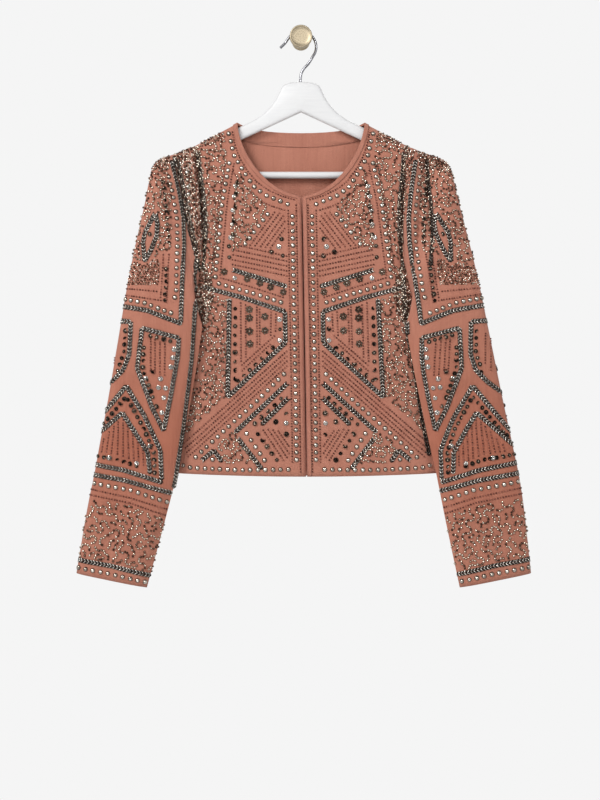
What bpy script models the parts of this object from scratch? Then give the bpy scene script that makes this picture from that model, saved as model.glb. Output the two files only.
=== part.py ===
"""A short beaded jacket on a wooden hanger that hangs by its hook from a turned wall knob.

Metres, +Z up, +Y into the wall. The origin is the middle of the knob's back, on the wall.
Left and right are the wearer's: the left side is at +X.
"""

import math

import bmesh
import bpy
import numpy as np

# Driving sizes of the hanging jacket. The two halves are laid out about a centre line that leans a little.
HANG_Y = -0.019  # plane of the hook, the hanger and the shoulder and side seams
CLOTH = 0.0014  # beaded cloth with its lining
BAND = 0.0010  # folded edging strip
SEAM = 0.0003  # gap between two pieces that are sewn together
NECK_HALF = 0.0915
NECK_Z = -0.1225  # top of the shoulder seam, at the neck
BACK_NECK_Z = -0.1345
FRONT_NECK_Z = -0.2305
SHOULDER_HALF = 0.156
SHOULDER_Z = -0.157  # outer end of the shoulder seam
UNDERARM_HALF = 0.178
UNDERARM_Z = -0.402
HEM_HALF = 0.197
HEM_Z = -0.6305
HEM_RISE = 0.005  # the hem lifts towards the side seams
FRONT_GAP_HALF = 0.0007
EDGE_WIDTH = 0.0065  # edging strip round the neck and down the fronts
FACING_WIDTH = 0.021  # facing inside the back neck
SHOULDER_ROUND = 0.012  # height over which the cloth rounds over the hanger

# The centre line's lean: height, shift towards the wearer's left.
LEAN = ((-0.80, 0.0030), (-0.63, 0.0080), (-0.50, 0.0060), (-0.23, 0.0012), (-0.17, 0.0))

# Body depth either side of the seam plane: height, front, back.
BODY_DEPTH = (
    (-0.640, 0.0250, 0.0120),
    (-0.450, 0.0265, 0.0115),
    (-0.330, 0.0260, 0.0110),
    (-0.250, 0.0225, 0.0110),
    (-0.200, 0.0180, 0.0110),
    (-0.150, 0.0115, 0.0110),
)

# Where the body's depth rounds away to nothing at the sides: height, distance from the centre line.
BODY_ROUND = ((HEM_Z, HEM_HALF), (UNDERARM_Z, UNDERARM_HALF), (-0.30, 0.215), (-0.17, 0.290))

# Soft folds of the body: face (-1 front, +1 back), distance from the centre line at the top and at the hem,
# top, bottom, half width, depth.
BODY_FOLDS = (
    (-1, 0.088, 0.118, -0.47, -0.66, 0.020, 0.0028),
    (-1, 0.040, 0.052, -0.53, -0.66, 0.016, -0.0018),
    (-1, 0.120, 0.080, -0.24, -0.40, 0.014, 0.0020),
    (1, 0.060, 0.075, -0.30, -0.66, 0.022, 0.0028),
    (1, 0.135, 0.150, -0.36, -0.66, 0.018, 0.0022),
)

# Sleeve sections from the armhole to the cuff, on the wearer's left, measured from the centre line.
# The sleeve hangs a little forward: its inner fold lies over the front and its underarm seam is behind it.
# Rings up to the next section, outer edge x, z, y, inner fold x, z, y, underarm seam x, z, y,
# depth to the front, to the back, bluntness.
SLEEVE_SECTIONS = (
    (1, 0.156, -0.1570, -0.0190, 0.1600, -0.3900, -0.0480, 0.1795, -0.3970, -0.0190, 0.016, 0.010, 0.60),
    (2, 0.167, -0.1610, -0.0195, 0.1550, -0.3960, -0.0490, 0.1820, -0.3980, -0.0310, 0.015, 0.014, 0.55),
    (2, 0.180, -0.1665, -0.0205, 0.1520, -0.4010, -0.0500, 0.1830, -0.3995, -0.0375, 0.015, 0.020, 0.55),
    (2, 0.194, -0.1710, -0.0220, 0.1495, -0.4050, -0.0510, 0.1835, -0.4010, -0.0390, 0.015, 0.021, 0.55),
    (2, 0.206, -0.1775, -0.0260, 0.1475, -0.4090, -0.0510, 0.1840, -0.4030, -0.0395, 0.015, 0.019, 0.57),
    (2, 0.2145, -0.1920, -0.0330, 0.1460, -0.4130, -0.0520, 0.1845, -0.4055, -0.0395, 0.014, 0.015, 0.60),
    (2, 0.2245, -0.2400, -0.0370, 0.1460, -0.4180, -0.0520, 0.1850, -0.4090, -0.0395, 0.014, 0.014, 0.64),
    (2, 0.2385, -0.2990, -0.0400, 0.1470, -0.4250, -0.0515, 0.1860, -0.4145, -0.0390, 0.013, 0.013, 0.68),
    (3, 0.2500, -0.3520, -0.0420, 0.1490, -0.4360, -0.0510, 0.1880, -0.4240, -0.0390, 0.013, 0.013, 0.70),
    (4, 0.2640, -0.4280, -0.0440, 0.1540, -0.4680, -0.0505, 0.1900, -0.4560, -0.0385, 0.013, 0.012, 0.72),
    (4, 0.2810, -0.5200, -0.0450, 0.1700, -0.5520, -0.0490, 0.2010, -0.5430, -0.0375, 0.012, 0.012, 0.72),
    (4, 0.2980, -0.6050, -0.0450, 0.1860, -0.6280, -0.0480, 0.2160, -0.6220, -0.0365, 0.012, 0.011, 0.72),
    (3, 0.3110, -0.6750, -0.0440, 0.2020, -0.6980, -0.0460, 0.2310, -0.6920, -0.0355, 0.011, 0.011, 0.72),
    (0, 0.3240, -0.7680, -0.0430, 0.2240, -0.7885, -0.0440, 0.2510, -0.7830, -0.0345, 0.010, 0.010, 0.72),
)
SLEEVE_SIDES = 26  # points round a ring; half of them lie between the shoulder and the underarm
FOLD_POINT = 11  # the point of a ring that lies on the inner fold
SEAM_RISE = 0.0040  # the sleeve leaves the armhole this far in the body's plane before it bends
SEAM_LIFT = 0.006  # and stands this far in front of it
ARMHOLE_FADE = 2.3  # sections over which the armhole's shape dies out
UNDERARM_FADE = 1.5  # and over which its depth does near the underarm

# Folds of the sleeve head, where its fullness is eased into the armhole: layer (-1 front, +1 back),
# upper x, z, lower x, z, half width, depth.
SLEEVE_FOLDS = (
    (-1, 0.181, -0.172, 0.156, -0.350, 0.0075, 0.0070),
    (-1, 0.193, -0.182, 0.184, -0.290, 0.0070, 0.0045),
    (-1, 0.205, -0.300, 0.170, -0.395, 0.0080, 0.0035),
    (-1, 0.262, -0.440, 0.190, -0.468, 0.0100, 0.0030),
    (1, 0.183, -0.176, 0.170, -0.340, 0.0080, 0.0060),
    (1, 0.200, -0.200, 0.196, -0.320, 0.0080, 0.0040),
)

# Hanger: a flat board with two sloping arms, a hook and a bar.
HANGER_THICK = 0.0105
HANGER_BEVEL = 0.004
HANGER_TOP_Z = -0.062
HANGER_NECK_X = 0.029
HANGER_NECK_Z = -0.072
ARM_START_X = 0.083
ARM_START_Z = -0.125
ARM_BEND_X = 0.140  # the arm carries the shoulder seam here and falls away beyond
ARM_BEND_Z = -0.1502
ARM_SLOPE = 0.57
ARM_END_X = 0.181
ARM_END_ROUND = 0.010
NOTCH_Z = -0.106  # top of the notch between the arms
NOTCH_SLOPE = 0.46
HEEL_X = 0.152  # inner face of the heel that carries the bar
HEEL_Z = -0.2035
BAR_RADIUS = 0.005
BAR_Z = -0.1966
BAR_SEAT = 0.006  # depth of the bar's seat in each heel
WIRE_RADIUS = 0.002
WIRE_SEAT_Z = -0.086
HOOK_RADIUS = 0.022
HOOK_CENTRE_Z = -0.0115

# Knob: distance from the wall and radius down its outer side, from the wall to the face.
KNOB_PROFILE = (
    (0.0000, 0.0130),
    (0.0035, 0.0130),
    (0.0045, 0.0120),
    (0.0060, 0.0082),
    (0.0270, 0.0082),
    (0.0285, 0.0142),
    (0.0315, 0.0150),
    (0.0325, 0.0162),
    (0.0385, 0.0162),
    (0.0400, 0.0150),
    (0.0395, 0.0138),
)
KNOB_SIDES = 40


def material(name, colour, roughness, metallic=0.0):
    made = bpy.data.materials.new(name)
    made.use_nodes = True
    shader = made.node_tree.nodes["Principled BSDF"]
    shader.inputs["Base Color"].default_value = (*colour, 1.0)
    shader.inputs["Roughness"].default_value = roughness
    shader.inputs["Metallic"].default_value = metallic
    return made


def add_object(name, data, finish):
    made = bpy.data.objects.new(name, data)
    made.data.materials.append(finish)
    bpy.context.scene.collection.objects.link(made)
    return made


def object_from(name, mesh_under_work, finish, smooth=True):
    """A named object from a bmesh, with its faces pointing out."""
    bmesh.ops.recalc_face_normals(mesh_under_work, faces=mesh_under_work.faces)
    mesh = bpy.data.meshes.new(name)
    mesh_under_work.to_mesh(mesh)
    mesh_under_work.free()
    if smooth:
        mesh.shade_smooth()
        mesh.set_sharp_from_angle(angle=math.radians(40))
    return add_object(name, mesh, finish)


def bezier(corners, share):
    """Points at these shares along the cubic curve with these four corners."""
    a, b, c, d = (np.array(corner, float) for corner in corners)
    t = np.asarray(share, float)[..., None]
    return a * (1 - t) ** 3 + 3 * b * t * (1 - t) ** 2 + 3 * c * t**2 * (1 - t) + d * t**3


def smooth_step(share):
    t = np.clip(share, 0, 1)
    return t * t * (3 - 2 * t)


def column(table, key, value, at):
    """One column of a table read at these heights, straight between its rows."""
    rows = np.array(table)
    return np.interp(at, rows[:, key], rows[:, value])


def lean(z):
    return column(LEAN, 0, 1, z)


# The cut of the body, in front view: distance from the centre line and height.
NECK_POINT = (NECK_HALF, NECK_Z)
SHOULDER_POINT = (SHOULDER_HALF, SHOULDER_Z)
UNDERARM_POINT = (UNDERARM_HALF, UNDERARM_Z)
SHOULDER_SLOPE = (NECK_Z - SHOULDER_Z) / (SHOULDER_HALF - NECK_HALF)
FRONT_NECK_CURVE = (NECK_POINT, (0.0885, -0.165), (0.052, -0.224), (FRONT_GAP_HALF, FRONT_NECK_Z))
BACK_NECK_CURVE = (NECK_POINT, (0.075, -0.1305), (0.035, BACK_NECK_Z), (0.0, BACK_NECK_Z))
ARMHOLE_CURVE = (SHOULDER_POINT, (0.140, -0.235), (0.134, -0.390), UNDERARM_POINT)


def hem_z(x):
    return HEM_Z + HEM_RISE * (np.abs(x) / HEM_HALF) ** 2


def shoulder_z(x):
    return NECK_Z - np.clip(np.abs(x) - NECK_HALF, 0, None) * SHOULDER_SLOPE


def fold_depth(x, z, start, end, half_width, depth):
    """A soft trough along the line from start to end, dying out at both ends."""
    (x0, z0), (x1, z1) = start, end
    along = ((x - x0) * (x1 - x0) + (z - z0) * (z1 - z0)) / ((x1 - x0) ** 2 + (z1 - z0) ** 2)
    off = np.hypot(x - x0 - along * (x1 - x0), z - z0 - along * (z1 - z0))
    ends = smooth_step(along / 0.2) * smooth_step((1 - along) / 0.2)
    return depth * np.exp(-((off / half_width) ** 2)) * ends


def body_y(x, z, face):
    """Depth of the body's cloth at a point of the front view, for the front (-1) or the back (+1)."""
    drop = np.clip((shoulder_z(x) - z) / SHOULDER_ROUND, 0, 1)
    over_shoulder = np.sqrt(1 - (1 - drop) ** 2)
    side_half = column(BODY_ROUND, 0, 1, z)
    round_side = np.sqrt(1 - np.clip(np.abs(x) / side_half, 0, 1) ** (4 if face < 0 else 8))
    out = column(BODY_DEPTH, 0, 1 if face < 0 else 2, z)
    for on_face, top_x, low_x, top, low, half_width, depth in BODY_FOLDS:
        if on_face == face:
            out = out - fold_depth(np.abs(x), z, (top_x, top), (low_x, low), half_width, depth)
    return HANG_Y + face * (SEAM / 2 + out * over_shoulder * round_side)


def tube_normals(points):
    """Normals of rings of points, from the steps to the neighbours round a ring and along the tube."""
    across = np.roll(points, -1, 1) - np.roll(points, 1, 1)
    normals = np.cross(across, np.gradient(points, axis=0))
    return normals / np.linalg.norm(normals, axis=2, keepdims=True)


def in_seam_plane(normals):
    """Normals turned into the plane of the shoulder and side seams, where two walls meet edge to edge."""
    flat = normals * (1, 0, 1)
    return flat / np.linalg.norm(flat, axis=-1, keepdims=True)


def wall(name, points, normals, low, high, finish, round_about=False):
    """A closed wall between two offsets of a grid of points along its normals."""
    made = bmesh.new()
    rows, columns = points.shape[:2]
    skins = []
    for offset in (low, high):
        skin = points + normals * offset
        skins.append([[made.verts.new(skin[i, j]) for j in range(columns)] for i in range(rows)])
    under, over = skins
    steps = range(columns if round_about else columns - 1)
    for j in steps:
        k = (j + 1) % columns
        for i in range(rows - 1):
            down = np.linalg.norm(points[i, j] - points[i + 1, k])
            up = np.linalg.norm(points[i + 1, j] - points[i, k])
            for skin in skins:
                a, b, c, d = skin[i][j], skin[i + 1][j], skin[i + 1][k], skin[i][k]
                for corners in ((a, b, c), (a, c, d)) if down <= up else ((a, b, d), (b, c, d)):
                    made.faces.new(corners)
        for i in (0, rows - 1):
            made.faces.new((under[i][j], over[i][j], over[i][k], under[i][k]))
    if not round_about:
        for j in (0, columns - 1):
            for i in range(rows - 1):
                made.faces.new((under[i][j], over[i][j], over[i + 1][j], under[i + 1][j]))
    return object_from(name, made, finish)


def patch(top, low, inner, outer, u, v):
    """A sheet stretched between four border curves, given by their shares: u runs across and v down."""
    corners = [np.asarray(top(np.array(k)), float) for k in (0.0, 1.0)]
    corners += [np.asarray(low(np.array(k)), float) for k in (0.0, 1.0)]
    w, h = u[..., None], v[..., None]
    sides = (1 - w) * inner(v) + w * outer(v) + (1 - h) * top(u) + h * low(u)
    flat = (1 - h) * ((1 - w) * corners[0] + w * corners[1]) + h * ((1 - w) * corners[2] + w * corners[3])
    return sides - flat


# Shares of the panels' borders. The rows meet the armhole where the sleeve's first ring has its points,
# so that the two edges keep their gap all the way round.
ARMHOLE_SHARE = 0.55
ARMHOLE_TURN = np.linspace(0, math.pi, SLEEVE_SIDES // 2 + 1)
ARMHOLE_POINTS = 1 - (1 + np.cos(ARMHOLE_TURN)) / 4 - np.cos(ARMHOLE_TURN / 2) / 2
ARMHOLE_ROWS = ARMHOLE_SHARE * ARMHOLE_POINTS
FRONT_NECK_SHARE = ARMHOLE_ROWS[7]
SIDE_ROWS = np.linspace(ARMHOLE_SHARE, 1, 9)[1:]
SHOULDER_ROWS = (0.0025, 0.016)  # more rows where the cloth rounds over the hanger
NECK_ROWS = (ARMHOLE_ROWS[2:7] + ARMHOLE_ROWS[3:8]) / 2  # and round the neck
FRONT_ROWS = np.sort(np.concatenate([ARMHOLE_ROWS, SIDE_ROWS, SHOULDER_ROWS, NECK_ROWS]))
FRONT_COLUMNS = 10
BACK_COLUMNS = 22
BACK_NECK_COLUMNS = 12  # columns on the neck, in the middle of the back
BACK_TOP_ROWS = (0.0, 0.0012, 0.0036, EDGE_WIDTH, 0.0125, FACING_WIDTH)
BACK_EDGE_ROWS = BACK_TOP_ROWS.index(EDGE_WIDTH) + 1
BACK_ROWS = np.concatenate([ARMHOLE_ROWS[3:], SIDE_ROWS])


def armhole_and_side(v):
    """The panels' outer border: the armhole, then the side seam down to the hem."""
    arm = bezier(ARMHOLE_CURVE, np.clip(v / ARMHOLE_SHARE, 0, 1))
    down = np.clip((v - ARMHOLE_SHARE) / (1 - ARMHOLE_SHARE), 0, 1)[..., None]
    return arm + down * (np.array((HEM_HALF, hem_z(HEM_HALF))) - UNDERARM_POINT)


def neck_and_front_edge(v):
    """The front's inner border: the neck, then the centre front edge down to the hem."""
    neck = bezier(FRONT_NECK_CURVE, np.clip(v / FRONT_NECK_SHARE, 0, 1))
    down = np.clip((v - FRONT_NECK_SHARE) / (1 - FRONT_NECK_SHARE), 0, 1)[..., None]
    return neck + down * (0.0, HEM_Z - FRONT_NECK_Z)


def shoulder_seam(u):
    return np.array(NECK_POINT) + u[..., None] * (np.array(SHOULDER_POINT) - NECK_POINT)


def front_hem(u):
    x = FRONT_GAP_HALF + u * (HEM_HALF - FRONT_GAP_HALF)
    return np.stack([x, hem_z(x)], axis=-1)


def front_grid(side):
    """Points and normals of one front, from the front edge to the side and from the shoulder to the hem."""
    v = np.repeat(FRONT_ROWS[:, None], FRONT_COLUMNS + 2, axis=1)
    spread = np.sin(np.linspace(0, math.pi / 2, FRONT_COLUMNS + 1)[1:])
    reach = np.linalg.norm(armhole_and_side(FRONT_ROWS) - neck_and_front_edge(FRONT_ROWS), axis=1)
    edge = EDGE_WIDTH / reach[:, None]
    u = np.concatenate([np.zeros_like(edge), edge, edge + (1 - edge) * spread], axis=1)
    flat = patch(shoulder_seam, front_hem, neck_and_front_edge, armhole_and_side, u, v)
    x, z = flat[..., 0], flat[..., 1]
    points = np.stack([side * x + lean(z), body_y(x, z, -1), z], axis=-1)
    normals = body_normal(x, z, -1, side)
    normals[0] = in_seam_plane(normals[0])
    below = FRONT_ROWS >= ARMHOLE_SHARE
    normals[below, -1] = in_seam_plane(normals[below, -1])
    return points, normals


def back_top(u):
    """The back's top border from the wearer's right shoulder to the left one; u runs from 0 to 1."""
    signed = 2 * np.asarray(u) - 1
    neck_share = BACK_NECK_COLUMNS / BACK_COLUMNS
    neck = bezier(BACK_NECK_CURVE, 1 - np.clip(np.abs(signed) / neck_share, 0, 1))
    out = np.clip((np.abs(signed) - neck_share) / (1 - neck_share), 0, 1)[..., None]
    half = neck + out * (np.array(SHOULDER_POINT) - NECK_POINT)
    return half * np.stack([np.where(signed < 0, -1, 1), np.ones_like(signed)], axis=-1)


def back_hem(u):
    x = np.sin((2 * np.asarray(u) - 1) * math.pi / 2) * HEM_HALF
    return np.stack([x, hem_z(x)], axis=-1)


def back_grid():
    """Points and normals of the back, from the wearer's right to the left and from the top to the hem."""
    u = np.repeat(np.linspace(0, 1, BACK_COLUMNS + 1)[None], len(BACK_ROWS) + len(BACK_TOP_ROWS), axis=0)
    drop = np.linalg.norm(back_hem(u[0]) - back_top(u[0]), axis=1)
    first = np.array(BACK_TOP_ROWS)[:, None] / drop
    v = np.concatenate([first, np.repeat(BACK_ROWS[:, None], BACK_COLUMNS + 1, axis=1)])
    flat = patch(back_top, back_hem, lambda h: armhole_and_side(h) * (-1, 1), armhole_and_side, u, v)
    x, z = flat[..., 0], flat[..., 1]
    points = np.stack([x + lean(z), body_y(x, z, 1), z], axis=-1)
    right, left = body_normal(-x, z, 1, -1), body_normal(x, z, 1, 1)
    normals = np.where(x[..., None] < 0, right, left)
    on_shoulder = np.abs(2 * u[0] - 1) >= BACK_NECK_COLUMNS / BACK_COLUMNS - 1e-6
    normals[0, on_shoulder] = in_seam_plane(normals[0, on_shoulder])
    for border in (0, -1):
        below = v[:, border] >= ARMHOLE_SHARE
        normals[below, border] = in_seam_plane(normals[below, border])
    return points, normals


# Shares of the way from the shoulder to the underarm at a ring's points: down the front, then up the back.
RING_SHARES = np.concatenate([ARMHOLE_POINTS, ARMHOLE_POINTS[-2:0:-1]])
UNDERARM_POINT_INDEX = SLEEVE_SIDES // 2


def body_normal(x, z, face, side):
    """The body's outward normal just inside points of the front view, on the wearer's left or right."""
    step = 0.0005
    x, z = x * (1 - 2 * SEAM), z - SEAM
    slope_x = (body_y(x + step, z, face) - body_y(x - step, z, face)) / (2 * step)
    slope_z = (body_y(x, z + step, face) - body_y(x, z - step, face)) / (2 * step)
    normals = np.stack([-face * side * slope_x, face * np.ones_like(x), -face * slope_z], axis=-1)
    return normals / np.linalg.norm(normals, axis=-1, keepdims=True)


def armhole_ring(side):
    """Points and normals of the sleeve's own edge, a seam's gap outside the armhole, and the ways outward."""
    share = RING_SHARES
    step = 1e-3
    path = bezier(ARMHOLE_CURVE, share)
    ahead, behind = np.clip(share + step, 0, 1), np.clip(share - step, 0, 1)
    way = bezier(ARMHOLE_CURVE, ahead) - bezier(ARMHOLE_CURVE, behind)
    outward = np.stack([-way[:, 1], way[:, 0]], axis=-1)
    outward /= np.linalg.norm(outward, axis=1, keepdims=True)
    flat = path + outward * SEAM
    face = np.where(np.arange(SLEEVE_SIDES) <= UNDERARM_POINT_INDEX, -1, 1)
    x, z = flat[:, 0], flat[:, 1]
    y = np.where(face < 0, body_y(x, z, -1), body_y(x, z, 1))
    normals = np.where(face[:, None] < 0, body_normal(x, z, -1, side), body_normal(x, z, 1, side))
    for end in (0, UNDERARM_POINT_INDEX):
        y[end] = HANG_Y
        normals[end] = in_seam_plane(normals[end])
    outward = np.stack([outward[:, 0], 0 * x, outward[:, 1]], axis=-1)
    return np.stack([x, y, z], axis=-1), normals, outward


def section_rings():
    """The sleeve's rows between its sections, each column read along a smooth curve."""
    rows = np.array(SLEEVE_SECTIONS)
    places = np.concatenate([np.arange(n) / n + k for k, n in enumerate(rows[:-1, 0].astype(int))])
    places = np.append(places, len(rows) - 1)
    padded = np.concatenate([[2 * rows[0] - rows[1]], rows, [2 * rows[-1] - rows[-2]]])
    made = []
    for place in places:
        k = min(int(place), len(rows) - 2)
        t = place - k
        a, b, c, d = padded[k : k + 4]
        slope_in, slope_out = (c - a) / 2, (d - b) / 2
        start, end = 2 * t**3 - 3 * t**2 + 1, 3 * t**2 - 2 * t**3
        made.append(start * b + (t**3 - 2 * t**2 + t) * slope_in + end * c + (t**3 - t**2) * slope_out)
    return places, np.array(made)


def section_ring(row):
    """Points round a sleeve section: down the front to the inner fold, to the underarm seam, up the back."""
    outer, fold, under = row[[1, 3, 2]], row[[4, 6, 5]], row[[7, 9, 8]]
    ahead, behind, bluntness = row[10:]
    ring = np.zeros((SLEEVE_SIDES, 3))
    f = (RING_SHARES[: FOLD_POINT + 1] / RING_SHARES[FOLD_POINT])[:, None]
    ring[: FOLD_POINT + 1] = outer + f * (fold - outer)
    soft_fold = np.sqrt(1 - f[:, 0] ** 6)
    ring[: FOLD_POINT + 1, 1] -= ahead * soft_fold * (1 - np.abs(2 * f[:, 0] - 1) ** 4) ** (bluntness / 2)
    ring[FOLD_POINT + 1] = fold + np.array((0.35, 0.65, 0.35)) * (under - fold)
    g = 1 - RING_SHARES[UNDERARM_POINT_INDEX:, None]
    ring[UNDERARM_POINT_INDEX:] = under + g * (outer - under)
    ring[UNDERARM_POINT_INDEX:, 1] -= behind * (1 - g[:, 0] - (1 - g[:, 0] ** 4) ** (bluntness / 2))
    return ring


def sleeve_grid(side):
    """Points and normals of a sleeve, from the armhole to the cuff and round each ring."""
    turn = np.linspace(0, 2 * math.pi, SLEEVE_SIDES, endpoint=False)
    edge, edge_normals, outward = armhole_ring(side)
    rise = edge + outward * SEAM_RISE
    rise[:, 1] -= SEAM_LIFT * np.clip(np.sin(turn), 0, 1) ** 0.6
    places, rows = section_rings()
    rings = np.array([section_ring(row) for row in rows])
    outline = np.repeat(1 - smooth_step(places[:, None] / ARMHOLE_FADE), SLEEVE_SIDES, axis=1)
    low = smooth_step((RING_SHARES - 0.7) / 0.2)
    depth = 1 - smooth_step(places[:, None] / (ARMHOLE_FADE + low * (UNDERARM_FADE - ARMHOLE_FADE)))
    hold = np.stack([outline, depth, outline], axis=-1)
    rings = rings + hold * (rise - rings)
    x, z = rings[..., 0], rings[..., 2]
    front = np.sin(turn)
    free = smooth_step(places)[:, None]
    for layer, top_x, top, low_x, low, half_width, depth in SLEEVE_FOLDS:
        on_layer = smooth_step(-layer * front / 0.5)
        trough = fold_depth(x, z, (top_x, top), (low_x, low), half_width, depth)
        rings[..., 1] -= layer * trough * on_layer * free
    rings = np.concatenate([edge[None], rings])
    points = rings * (side, 1, 1)
    points[..., 0] += lean(points[..., 2])
    normals = tube_normals(points) * side
    normals[0] = edge_normals
    return points, normals


def hanger_outline():
    """Half of the hanger's outline in front view, from the top of its neck round to the top of the notch."""
    shares = np.linspace(0, 1, 6)
    end_z = ARM_BEND_Z - ARM_SLOPE * (ARM_END_X - ARM_END_ROUND - ARM_BEND_X)
    crown = bezier(
        ((0, HANGER_TOP_Z), (0.014, HANGER_TOP_Z), (0.027, -0.064), (HANGER_NECK_X, HANGER_NECK_Z)), shares
    )
    neck = bezier(
        ((HANGER_NECK_X, HANGER_NECK_Z), (0.038, -0.096), (0.052, -0.112), (ARM_START_X, ARM_START_Z)), shares
    )
    bend = np.array([(ARM_BEND_X, ARM_BEND_Z)])
    tip = (ARM_END_X - ARM_END_ROUND, end_z)
    low = (ARM_END_X - ARM_END_ROUND, HEEL_Z)
    end = bezier((tip, (ARM_END_X, end_z - 0.004), (ARM_END_X, HEEL_Z), low), shares)
    heel = np.array([(HEEL_X, HEEL_Z), (HEEL_X, NOTCH_Z - NOTCH_SLOPE * HEEL_X)])
    return np.concatenate([crown[:-1], neck, bend, end, heel])


def cutter(name, radius, length, place, along_x=False):
    """A hidden cylinder that bores a seat."""
    made = bmesh.new()
    bmesh.ops.create_cone(
        made, cap_ends=True, segments=16, radius1=radius, radius2=radius, depth=length
    )
    mesh = bpy.data.meshes.new(name)
    made.to_mesh(mesh)
    made.free()
    tool = bpy.data.objects.new(name, mesh)
    tool.location = place
    tool.rotation_euler = (0, math.pi / 2 if along_x else 0, 0)
    tool.hide_render = True
    tool.display_type = "WIRE"
    bpy.context.scene.collection.objects.link(tool)
    return tool


def add_hanger(finish):
    """The board, bevelled all round, with seats for the hook and for both ends of the bar."""
    half = hanger_outline()
    mirrored = half[:0:-1] * (-1, 1)
    outline = np.concatenate([half, [(0, NOTCH_Z)], mirrored])
    made = bmesh.new()
    front = [made.verts.new((x, HANG_Y - HANGER_THICK / 2, z)) for x, z in outline]
    face = made.faces.new(front)
    pulled = bmesh.ops.extrude_face_region(made, geom=[face])
    back = [v for v in pulled["geom"] if isinstance(v, bmesh.types.BMVert)]
    bmesh.ops.translate(made, verts=back, vec=(0, HANGER_THICK, 0))
    bmesh.ops.recalc_face_normals(made, faces=made.faces)
    rims = [e for e in made.edges if abs(e.verts[0].co.y - e.verts[1].co.y) < HANGER_THICK / 2]
    bmesh.ops.bevel(
        made, geom=rims, offset=HANGER_BEVEL, segments=2, profile=0.5, affect="EDGES", material=-1
    )
    board = object_from("hanger", made, finish)
    seat_half = HEEL_X + BAR_SEAT / 2
    seat_length = BAR_SEAT + 2 * SEAM
    bores = [
        cutter(f"bar_seat_{k}", BAR_RADIUS + SEAM, seat_length, (k * seat_half, HANG_Y, BAR_Z), True)
        for k in (-1, 1)
    ]
    above = 0.004
    depth = HANGER_TOP_Z - WIRE_SEAT_Z + above
    middle = (0, HANG_Y, WIRE_SEAT_Z + depth / 2)
    bores.append(cutter("hook_seat", WIRE_RADIUS + SEAM, depth, middle))
    for bore in bores:
        cut = board.modifiers.new(bore.name, "BOOLEAN")
        cut.operation = "DIFFERENCE"
        cut.object = bore


def add_bar(finish):
    made = bmesh.new()
    length = 2 * (HEEL_X + BAR_SEAT - SEAM)
    bmesh.ops.create_cone(
        made, cap_ends=True, segments=16, radius1=BAR_RADIUS, radius2=BAR_RADIUS, depth=length
    )
    bar = object_from("trouser_bar", made, finish)
    bar.location = (0, HANG_Y, BAR_Z)
    bar.rotation_euler = (0, math.pi / 2, 0)


def hook_route():
    """Points down the middle of the hook's wire, from its seat in the hanger to its tip: x and z."""
    swan_neck = [(0, WIRE_SEAT_Z + SEAM), (0, -0.070), (0, -0.052), (0.0035, -0.0440), (0.0105, -0.0360)]
    bend = [
        (HOOK_RADIUS * math.cos(turn), HOOK_CENTRE_Z + HOOK_RADIUS * math.sin(turn))
        for turn in np.radians(np.arange(-38, 150, 17))
    ]
    tip = [(-0.0235, -0.0068), (-0.0300, -0.0130)]
    return swan_neck + bend + tip


def add_hook(finish):
    route = np.array(hook_route())
    padded = np.concatenate([[2 * route[0] - route[1]], route, [2 * route[-1] - route[-2]]])
    points = []
    for k in range(len(route) - 1):
        a, b, c, d = padded[k : k + 4]
        for t in (0, 0.5):
            points.append(b + t * (c - a) / 2 + t**2 * (a - 2.5 * b + 2 * c - d / 2)
                          + t**3 * (1.5 * b - a / 2 - 1.5 * c + d / 2))
    points.append(route[-1])
    wire = bpy.data.curves.new("hanger_hook", "CURVE")
    wire.dimensions = "3D"
    wire.bevel_depth = WIRE_RADIUS
    wire.bevel_resolution = 2
    wire.use_fill_caps = True
    line = wire.splines.new("POLY")
    line.points.add(len(points) - 1)
    for slot, (x, z) in zip(line.points, points):
        slot.co = (x, HANG_Y, z, 1)
    add_object("hanger_hook", wire, finish)


def add_knob(finish):
    """A turned knob: its profile spun about the axis that stands out from the wall."""
    made = bmesh.new()
    profile = [(0.0, 0.0), *KNOB_PROFILE, (KNOB_PROFILE[-1][0], 0.0)]
    line = [made.verts.new((radius, -out, 0)) for out, radius in profile]
    edges = [made.edges.new(pair) for pair in zip(line, line[1:])]
    bmesh.ops.spin(
        made, geom=line + edges, cent=(0, 0, 0), axis=(0, 1, 0), angle=2 * math.pi,
        steps=KNOB_SIDES, use_merge=True,
    )
    bmesh.ops.remove_doubles(made, verts=made.verts, dist=1e-6)
    object_from("wall_knob", made, finish)


def add_jacket():
    cloth = material("beaded_cloth", (0.50, 0.21, 0.145), 0.8)
    edging = material("edging", (0.48, 0.20, 0.14), 0.75)
    half = CLOTH / 2
    for side, word in ((1, "left"), (-1, "right")):
        points, normals = front_grid(side)
        wall(f"front_{word}", points, normals, -half, half, cloth)
        wall(f"edging_{word}", points[:, :2], normals[:, :2], half + SEAM, half + SEAM + BAND, edging)
        points, normals = sleeve_grid(side)
        wall(f"sleeve_{word}", points, normals, -half, half, cloth, round_about=True)
    points, normals = back_grid()
    wall("back", points, normals, -half, half, cloth)
    neck = slice((BACK_COLUMNS - BACK_NECK_COLUMNS) // 2, (BACK_COLUMNS + BACK_NECK_COLUMNS) // 2 + 1)
    edge, deep = BACK_EDGE_ROWS, len(BACK_TOP_ROWS)
    wall("edging_back", points[:edge, neck], normals[:edge, neck], half + SEAM, half + SEAM + BAND, edging)
    wall("neck_facing", points[:deep, neck], normals[:deep, neck], -half - SEAM - BAND, -half - SEAM, edging)


def main():
    for thing in list(bpy.data.objects):
        bpy.data.objects.remove(thing)
    add_jacket()
    white = material("white_wood", (0.86, 0.86, 0.85), 0.45)
    add_hanger(white)
    add_bar(white)
    add_hook(material("bright_steel", (0.62, 0.62, 0.64), 0.2, 1.0))
    add_knob(material("brass", (0.72, 0.60, 0.38), 0.35, 1.0))


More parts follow.
